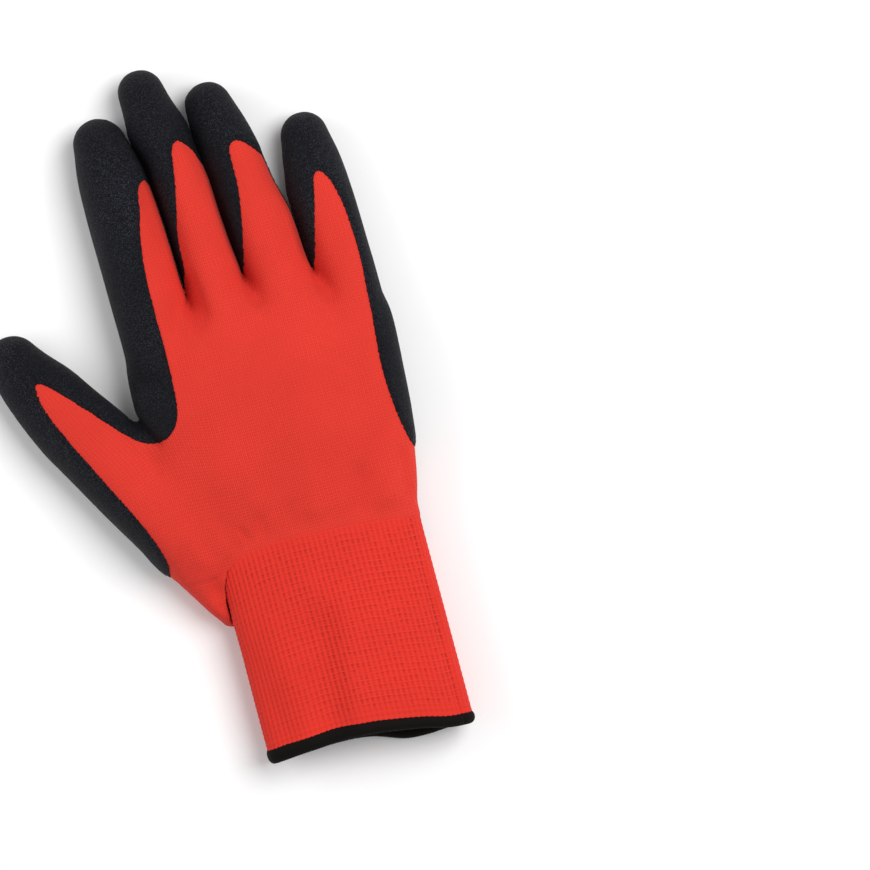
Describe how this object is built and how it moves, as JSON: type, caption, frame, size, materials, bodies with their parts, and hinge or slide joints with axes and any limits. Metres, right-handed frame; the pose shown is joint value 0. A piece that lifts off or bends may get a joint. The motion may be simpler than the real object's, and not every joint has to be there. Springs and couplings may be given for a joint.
{
  "type": "latex coated grip glove",
  "caption": "Knitted work glove for the right hand, hollow and open at the ribbed wrist, its palm and fingertips dipped in black crinkle latex with the red back left bare",
  "frame": {"origin": "Under the middle of the palm, on the surface that the glove lies on", "axes": "+Y runs along the cuff's axis to the fingertips, +X to the little finger's side, +Z out of the back of the hand"},
  "size_m": [0.1393, 0.249, 0.0307],
  "materials": {
    "red_knit": "fine seamless knit, matte",
    "red_rib": "elastic rib knit, matte",
    "black_thread": "overlocked thread, matte",
    "black_latex": "fine crinkle, matte"
  },
  "bodies": {
    "root": {"knit_hand": "red_knit", "rib_cuff": "red_rib", "cuff_hem": "black_thread", "latex_coating": "black_latex"}
  },
  "joints": []
}
